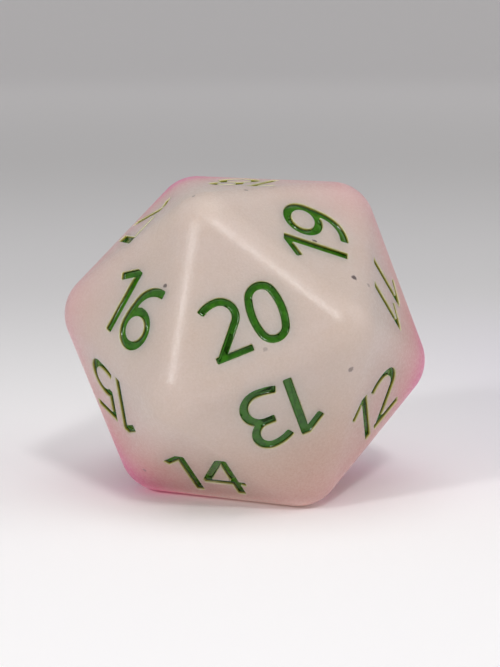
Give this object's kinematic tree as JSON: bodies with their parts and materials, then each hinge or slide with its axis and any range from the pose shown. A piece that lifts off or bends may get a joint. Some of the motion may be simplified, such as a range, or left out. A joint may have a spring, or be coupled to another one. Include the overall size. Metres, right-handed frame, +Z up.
{
  "type": "polyhedral die",
  "caption": "Rounded icosahedral gaming die in a soft frosted translucent material, with a recessed, green-painted number in every face.",
  "frame": {"origin": "middle of the face the die rests on (number 4), on the surface it stands on", "axes": "+Z up through the middle of the level top face (number 18), the shortest way across; +Y the longest way across, towards the corner where faces 1, 2, 8, 9 and 10 meet; +X completes a right-handed frame"},
  "size_m": [0.0232, 0.0258, 0.022],
  "materials": {
    "frosted_rubber": "frosted satin, translucent cream-white that turns pink towards some corners",
    "number_paint": "semi-gloss green enamel, slightly uneven, set below the face"
  },
  "bodies": {
    "root": {"body": "frosted_rubber", "paint_01": "number_paint", "paint_02": "number_paint", "paint_03": "number_paint", "paint_04": "number_paint", "paint_05": "number_paint", "paint_06": "number_paint", "paint_07": "number_paint", "paint_08": "number_paint", "paint_09": "number_paint", "paint_10": "number_paint", "paint_11": "number_paint", "paint_12": "number_paint", "paint_13": "number_paint", "paint_14": "number_paint", "paint_15": "number_paint", "paint_16": "number_paint", "paint_17": "number_paint", "paint_18": "number_paint", "paint_19": "number_paint", "paint_20": "number_paint"}
  },
  "joints": []
}
